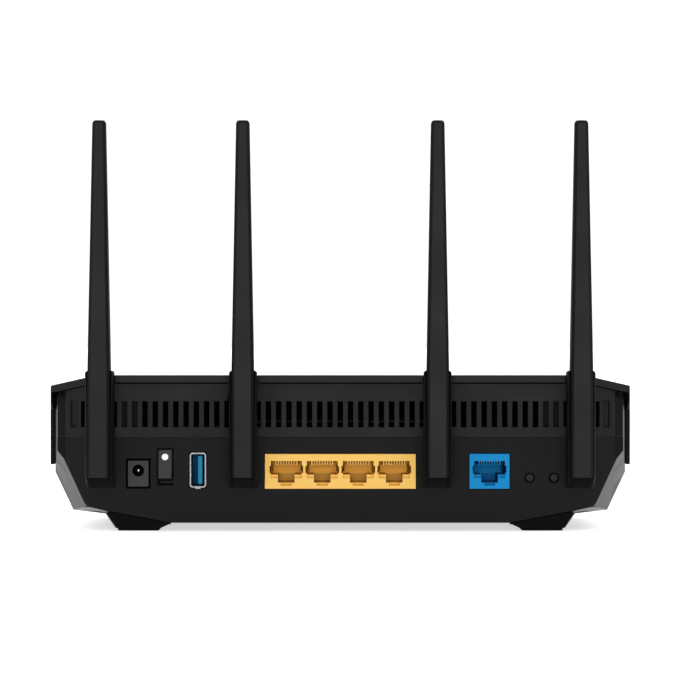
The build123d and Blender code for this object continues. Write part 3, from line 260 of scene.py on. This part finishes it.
def paint_finish_or_shade(name, steps, colour, roughness, gloss=None):
    """Gives a material another finish, or painted light and shade, where all the steps hold; no gloss keeps
    its own.
    """
    tree = MATERIALS[name].node_tree
    shader = tree.nodes["Principled BSDF"]
    mask, *others = [add_step(tree, *step) for step in steps]
    for other in others:
        both = tree.nodes.new("ShaderNodeMath")
        both.operation = "MULTIPLY"
        tree.links.new(mask, both.inputs[0])
        tree.links.new(other, both.inputs[1])
        mask = both.outputs["Value"]
    blend_input(tree, shader.inputs["Base Color"], mask, (*colour, 1.0))
    blend_input(tree, shader.inputs["Roughness"], mask, roughness)
    if gloss is not None:
        blend_input(tree, shader.inputs["Specular IOR Level"], mask, gloss)


CASE_TONE = (0.022, 0.022, 0.0225)
CASE_ROUGHNESS = 0.31
CASE_GLOSS = 1.0
MOULDINGS = {
    "cover_black": dict(colour=grey(0.0057), spread=0.15, roughness=(0.585, 0.625), gloss=0.2),
    "panel_black": dict(colour=grey(0.005), roughness=(0.58, 0.70), gloss=0.2),
    "case_grey": dict(colour=CASE_TONE, roughness=(0.26, 0.36), gloss=CASE_GLOSS),
    "antenna_black": dict(colour=grey(0.0045), roughness=(0.55, 0.66), grain_mm=0.3, gloss=0.2),
    "foot_rubber": dict(colour=grey(0.002), roughness=(0.8, 0.9), grain_mm=0.6, gloss=0.1),
    "chip_black": dict(colour=grey(0.012), roughness=(0.45, 0.6)),
    "pad_grey": dict(colour=(0.35, 0.36, 0.38), roughness=(0.7, 0.85)),
    "socket_yellow": dict(colour=(0.765, 0.465, 0.115), spread=0.06, roughness=(0.6, 0.75), gloss=0.15),
    "socket_blue": dict(colour=(0.004, 0.20, 0.47), spread=0.08, roughness=(0.6, 0.75), gloss=0.12),
    "usb_blue": dict(colour=(0.0015, 0.175, 0.31), spread=0.1, roughness=(0.45, 0.6), gloss=0.2),
    "inlet_black": dict(colour=(0.014, 0.014, 0.015), roughness=(0.5, 0.62), gloss=0.3),
    "rocker_black": dict(colour=(0.0185, 0.0175, 0.0195), roughness=(0.4, 0.52), gloss=0.3),
    "button_black": dict(colour=grey(0.005), roughness=(0.50, 0.62), gloss=0.2),
    "led_white": dict(colour=(0.85, 0.82, 0.66), spread=0.05, roughness=(0.2, 0.3)),
    "print_white": dict(colour=grey(0.85), spread=0.04, roughness=(0.45, 0.6)),
}
METALS = {
    "sink_aluminium": dict(colour=(0.05, 0.05, 0.055), stretch=(1.0, 0.05, 1.0), roughness=(0.45, 0.6)),
    "shield_steel": dict(colour=grey(0.66)),
    "screw_steel": dict(colour=(0.40, 0.40, 0.41)),
    "pin_black": dict(colour=grey(0.02), roughness=(0.4, 0.55)),
    "usb_steel": dict(colour=(0.18, 0.18, 0.185), stretch=(1.0, 0.1, 1.0), roughness=(0.30, 0.45)),
    # Painted shade: the contacts' gold is darkened, for they sit deep in the sockets
    "contact_gold": dict(colour=(0.10, 0.055, 0.018), grain_mm=0.2, roughness=(0.35, 0.5)),
    "strip_copper": dict(colour=(0.80, 0.45, 0.28)),
}
MATERIALS = {name: moulded(name, **look) for name, look in MOULDINGS.items()}
MATERIALS.update({name: metal(name, **look) for name, look in METALS.items()})
MATERIALS["board_green"] = circuit_board("board_green")
MATERIALS["light_clear"] = clear_plastic("light_clear")

# Painted shade: the foot blocks, in shadow under the case, are painted as dark and matt as the pads below
# them
FOOT_PAINTED_SHADE = (("Object", "Z", 0.0071, 0.0067),)
paint_finish_or_shade("case_grey", FOOT_PAINTED_SHADE, grey(0.002), roughness=0.9, gloss=0.1)
# The painted shade spares their outer edge, which keeps the satin grey
FOOT_EDGE = (("Object", "Z", 0.0075, 0.0070), ("Object", "X", 0.0845, 0.0855), ("Normal", "X", 0.15, 0.35))
paint_finish_or_shade("case_grey", FOOT_EDGE, CASE_TONE, roughness=CASE_ROUGHNESS, gloss=CASE_GLOSS)
# Painted shade from the cover's lip: the rear ends of the cover's hanging skirts are darker and duller than
# the cover
SKIRT_END_SHADE = (("Object", "X", 0.1095, 0.1100), ("Normal", "Y", 0.5, 0.8), ("Object", "Z", 0.0545, 0.0535))
paint_finish_or_shade("cover_black", SKIRT_END_SHADE, grey(0.0032), roughness=0.75, gloss=0.12)
# Painted shade: the power inlet's hole is black inside
INLET_HOLE_SHADE = (("Object", "Y", 0.0655, 0.0652),)
paint_finish_or_shade("inlet_black", INLET_HOLE_SHADE, grey(0.001), roughness=0.8, gloss=0.1)
# Painted shade: the rocker's upper and lower ends are darker than its face
ROCKER_END_SHADE = (("Normal", "Z", 0.5, 0.8),)
paint_finish_or_shade("rocker_black", ROCKER_END_SHADE, grey(0.006), roughness=0.6, gloss=0.15)
# Painted shade on the inside of the front wall, which shows through the vents: dark and dull
INNER_FRONT_SHADE = (("Object", "Y", 0.0742, 0.0745), ("Object", "Y", 0.0755, 0.0752),
               ("Normal", "Y", 0.95, 0.98))
paint_finish_or_shade("case_grey", INNER_FRONT_SHADE, grey(0.002), roughness=0.9, gloss=0.05)
# Painted shade: the antennas' rounded flanks and tips are darker and duller than their flat faces
ANTENNA_FLANK_SHADE = (("Normal", "X", 0.3, 0.7),)
ANTENNA_TIP_SHADE = (("Normal", "Z", 0.3, 0.7),)
for place in (ANTENNA_FLANK_SHADE, ANTENNA_TIP_SHADE):
    paint_finish_or_shade("antenna_black", place, grey(0.0025), roughness=0.7, gloss=0.12)
# Painted light and shade in the network sockets: a brighter bounce-lit tone inside, and painted shade in
# their latch slots and on their side walls
SOCKET_INSIDE_LIGHT = (("Object", "Y", 0.0650, 0.0640),)
LATCH_SLOT_SHADE = SOCKET_INSIDE_LIGHT + (("Object", "Z", 0.0218, 0.0216),)
SOCKET_WALL_SHADE = SOCKET_INSIDE_LIGHT + (("Normal", "X", 0.6, 0.8),)
SOCKET_LIGHT_AND_SHADE = {
    "socket_yellow": ((0.98, 0.50, 0.075), (0.75, 0.40, 0.075), (0.30, 0.10, 0.02)),
    "socket_blue": ((0.003, 0.19, 0.45), (0.002, 0.13, 0.35), (0.001, 0.04, 0.13)),
}
for socket_slot, tones in SOCKET_LIGHT_AND_SHADE.items():
    for place, tone in zip((SOCKET_INSIDE_LIGHT, LATCH_SLOT_SHADE, SOCKET_WALL_SHADE), tones):
        paint_finish_or_shade(socket_slot, place, tone, roughness=0.7, gloss=0.12)
# Painted shade: the USB socket is darker towards its back
USB_BACK_SHADE = (("Object", "Y", 0.0610, 0.0580),)
paint_finish_or_shade("usb_blue", USB_BACK_SHADE, (0.001, 0.085, 0.195), roughness=0.6, gloss=0.1)
# The power inlet's pin, which shares the USB shell's metal, is polished
INLET_PIN = (("Object", "X", 0.0680, 0.0700),)
paint_finish_or_shade("usb_steel", INLET_PIN, (0.38, 0.38, 0.39), roughness=0.30)
# The rear panel's recessed port band has a duller, darker grain
PORT_BAND = (("Object", "Z", 0.0366, 0.0364), ("Object", "Y", 0.0658, 0.0656))
paint_finish_or_shade("panel_black", PORT_BAND, grey(0.0036), roughness=0.70, gloss=0.16)
# Painted shade: the pylons, which stand out from the panel, are blacker than its face
PYLON_SHADE = (("Object", "Y", 0.0662, 0.0664), ("Object", "X", 0.0974, 0.0972))
paint_finish_or_shade("panel_black", PYLON_SHADE, grey(0.0022), roughness=0.75, gloss=0.10)
# Hardly any light reaches the inside of the panel's vent slots
SLOT_DEPTH = (("Object", "Y", 0.0656, 0.0654), ("Object", "Z", 0.0401, 0.0405),
              ("Object", "Z", 0.0508, 0.0504), ("Object", "X", 0.0980, 0.0978))
paint_finish_or_shade("panel_black", SLOT_DEPTH, grey(0.001), roughness=0.9, gloss=0.05)
# The blind slots between the pylons catch a little more
BLIND_SLOTS = SLOT_DEPTH + (("Object", "X", 0.0776, 0.0778), ("Object", "X", 0.0866, 0.0864))
paint_finish_or_shade("panel_black", BLIND_SLOTS, grey(0.0035), roughness=0.8, gloss=0.12)
# Painted shade makes the panel's upright side edges darker and duller, and a painted shadow makes them black
# in the corner under the cover
PANEL_EDGE_SHADE = (("Object", "X", 0.1073, 0.1077), ("Normal", "Y", 0.8, 0.9))
paint_finish_or_shade("panel_black", PANEL_EDGE_SHADE, grey(0.0022), roughness=0.75, gloss=0.10)
PANEL_CORNER_SHADOW = PANEL_EDGE_SHADE + (("Object", "Z", 0.0515, 0.0525),)
paint_finish_or_shade("panel_black", PANEL_CORNER_SHADOW, grey(0.0008), roughness=0.9, gloss=0.05)
# The panel's side rim, beyond and behind the pylons, lies flush in the satin flare of the case
RIM_PLACE = (("Object", "X", 0.0985, 0.0987), ("Object", "Y", 0.0664, 0.0662))
SIDE_RIM = RIM_PLACE + (("Normal", "X", 0.5, 0.7),)
paint_finish_or_shade("panel_black", SIDE_RIM, CASE_TONE, roughness=CASE_ROUGHNESS, gloss=CASE_GLOSS)
# Painted shade: the flare's inner facets, next to the panel, are darker and duller than its outer ones
FLARE_INNER_SHADE = (("Object", "Y", 0.0515, 0.0525), ("Normal", "Y", 0.58, 0.54), ("Normal", "X", 0.66, 0.74))
paint_finish_or_shade("case_grey", FLARE_INNER_SHADE, grey(0.0115), roughness=0.36, gloss=0.55)
paint_finish_or_shade("panel_black", FLARE_INNER_SHADE + RIM_PLACE, grey(0.0115), roughness=0.36, gloss=0.55)
# The walls of the two end slots, which face sideways like the rim, stay dark with painted shade
END_SLOT_SHADE = (("Object", "X", 0.1022, 0.1026), ("Object", "X", 0.1060, 0.1056),
            ("Object", "Z", 0.0399, 0.0402), ("Object", "Z", 0.0511, 0.0508), ("Normal", "X", 0.1, 0.2))
paint_finish_or_shade("panel_black", END_SLOT_SHADE, grey(0.003), roughness=0.70, gloss=0.15)

# Small rounded edges on the moulded pieces, in millimetres
EDGE_MM = {
    "top_cover": 0.20,
    "rear_panel": 0.22,
    "lower_case": 0.40,
    "power_inlet": 0.20,
    "lan_sockets": 0.12,
    "wan_socket": 0.12,
    "foot_pads": 0.25,
    "usb_tongue": 0.10,
    "pairing_button": 0.08,
    "reset_button": 0.08,
    "antenna_1_sleeve": 0.35,
    "antenna_2_sleeve": 0.35,
    "antenna_3_sleeve": 0.35,
    "antenna_4_sleeve": 0.35,
}
EDGE_SEGMENTS = 2
EDGE_ANGLE = math.radians(25.0)
FLAT_ANGLE = math.radians(0.4)
WELD_MM = 0.001


def soften_edges(piece, width_mm):
    """Rounds the sharp edges of a piece a little, as a mould does."""
    weld = piece.modifiers.new("weld", "WELD")
    weld.merge_threshold = WELD_MM * MM
    flat = piece.modifiers.new("flat", "DECIMATE")
    flat.decimate_type = "DISSOLVE"
    flat.angle_limit = FLAT_ANGLE
    bevel = piece.modifiers.new("edges", "BEVEL")
    bevel.width = width_mm * MM
    bevel.segments = EDGE_SEGMENTS
    bevel.limit_method = "ANGLE"
    bevel.angle_limit = EDGE_ANGLE
    bevel.use_clamp_overlap = False
    bevel.harden_normals = True


def dress_nodes():
    """Gives every node its material, and the nodes listed in EDGE_MM their softened edges."""
    slots = {part["node"]: part["material_slot"] for part in frame["record"]["subparts"]}
    for name, piece in frame["nodes"].items():
        piece.data.materials.clear()
        piece.data.materials.append(MATERIALS[slots[name]])
        if name in EDGE_MM:
            soften_edges(piece, EDGE_MM[name])


def mesh_piece(name, build, material, body):
    """A new piece from a function that fills a bmesh; it rides on the body."""
    mesh = bpy.data.meshes.new(name)
    bm = bmesh.new()
    build(bm)
    bm.normal_update()
    bm.to_mesh(mesh)
    bm.free()
    piece = bpy.data.objects.new(name, mesh)
    bpy.context.scene.collection.objects.link(piece)
    mesh.materials.append(MATERIALS[material])
    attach(piece, body)
    return piece


def joint_place(name):
    """A joint's point in the model's frame."""
    return next(Vector(j["pos_m"]) for j in frame["joints"] if j["name"] == name)


# The rocker's printed dot
ROCKER_TILT = math.radians(12.0)
ROCKER_FACE = 5.6 * MM
DOT_UP = 2.745 * MM
DOT_RADIUS = 1.28 * MM
DOT_HEIGHT = 0.05 * MM
DOT_SIDES = 40


def add_rocker_dot():
    """A plain white printed dot near the top of the rocker's face."""
    def build(bm):
        bmesh.ops.create_cone(bm, cap_ends=True, segments=DOT_SIDES, radius1=DOT_RADIUS,
                              radius2=DOT_RADIUS - DOT_HEIGHT, depth=DOT_HEIGHT)
        turn = Matrix.Rotation(math.pi / 2, 4, "X")
        lift = Matrix.Translation((0.0, -ROCKER_FACE - DOT_HEIGHT / 2, DOT_UP))
        tilt = Matrix.Rotation(-ROCKER_TILT, 4, "X")
        place = Matrix.Translation(joint_place("rocker_tilt"))
        bmesh.ops.transform(bm, matrix=place @ tilt @ lift @ turn, verts=bm.verts)

    dot = mesh_piece("rocker_dot", build, "print_white", "rocker")


def add_camera():
    """The photograph's view."""
    data = bpy.data.cameras.new("camera")
    data.sensor_width = SENSOR_MM
    pixels_per_radian = PANEL_PIXELS_PER_MM / MM * PANEL_DISTANCE
    data.lens = SENSOR_MM * pixels_per_radian / PHOTO_PIXELS
    camera = bpy.data.objects.new("camera", data)
    camera.location = (CAMERA_SIDE, PANEL_Y - PANEL_DISTANCE, CAMERA_HEIGHT)
    camera.rotation_euler = (math.pi / 2, 0.0, 0.0)
    bpy.context.scene.collection.objects.link(camera)
    bpy.context.scene.camera = camera


def add_lamps():
    """Soft rectangular lamps at both sides and on the camera's side."""
    for name, (place, size, watts) in LAMPS.items():
        data = bpy.data.lights.new(name, "AREA")
        data.shape = "RECTANGLE"
        data.size, data.size_y = size
        data.energy = watts
        lamp = bpy.data.objects.new(name, data)
        lamp.location = place
        lamp.rotation_euler = (Vector(LAMP_AIM) - Vector(place)).to_track_quat("-Z", "Y").to_euler()
        bpy.context.scene.collection.objects.link(lamp)


def add_sun():
    """An even overhead glow that keeps the floor white to its far edge."""
    data = bpy.data.lights.new("overhead", "SUN")
    data.energy = SUN_STRENGTH
    data.angle = SUN_SPREAD
    lamp = bpy.data.objects.new("overhead", data)
    bpy.context.scene.collection.objects.link(lamp)


def add_sky():
    """A white studio, brighter behind the object than on the camera's side."""
    world = bpy.data.worlds.new("studio")
    bpy.context.scene.world = world
    world.use_nodes = True
    tree = world.node_tree
    place = tree.nodes.new("ShaderNodeTexCoord")
    split = tree.nodes.new("ShaderNodeSeparateXYZ")
    spread = tree.nodes.new("ShaderNodeMapRange")
    spread.inputs["From Min"].default_value = SKY_TURN_START
    spread.inputs["From Max"].default_value = SKY_TURN_END
    spread.inputs["To Min"].default_value = SKY_FRONT
    spread.inputs["To Max"].default_value = SKY_BACK
    tree.links.new(place.outputs["Generated"], split.inputs["Vector"])
    tree.links.new(split.outputs["Y"], spread.inputs["Value"])
    background = tree.nodes["Background"]
    background.inputs["Color"].default_value = (*grey(1.0), 1.0)
    tree.links.new(spread.outputs["Result"], background.inputs["Strength"])


def add_floor():
    """A plain pale floor."""
    mesh = bpy.data.meshes.new("floor")
    half = FLOOR_SIZE / 2
    corners = [(-half, -half, 0), (half, -half, 0), (half, half, 0), (-half, half, 0)]
    mesh.from_pydata(corners, [], [(0, 1, 2, 3)])
    floor = bpy.data.objects.new("floor", mesh)
    bpy.context.scene.collection.objects.link(floor)
    material, tree, shader = new_material("floor_white")
    cloud = add_noise(tree, FLOOR_CLOUD_MM, FLOOR_CLOUD_DETAIL)
    tone = add_mix(tree, cloud, grey(FLOOR_DARK), grey(FLOOR_LIGHT))
    tree.links.new(tone, shader.inputs["Base Color"])
    shader.inputs["Roughness"].default_value = FLOOR_ROUGHNESS
    shader.inputs["Specular IOR Level"].default_value = FLOOR_GLOSS
    shader.inputs["Emission Color"].default_value = (*grey(1.0), 1.0)
    shader.inputs["Emission Strength"].default_value = FLOOR_GLOW
    mesh.materials.append(material)


dress_nodes()
add_rocker_dot()
add_camera()
add_sky()
add_floor()
add_lamps()
add_sun()
bpy.context.scene.view_settings.view_transform = "Standard"
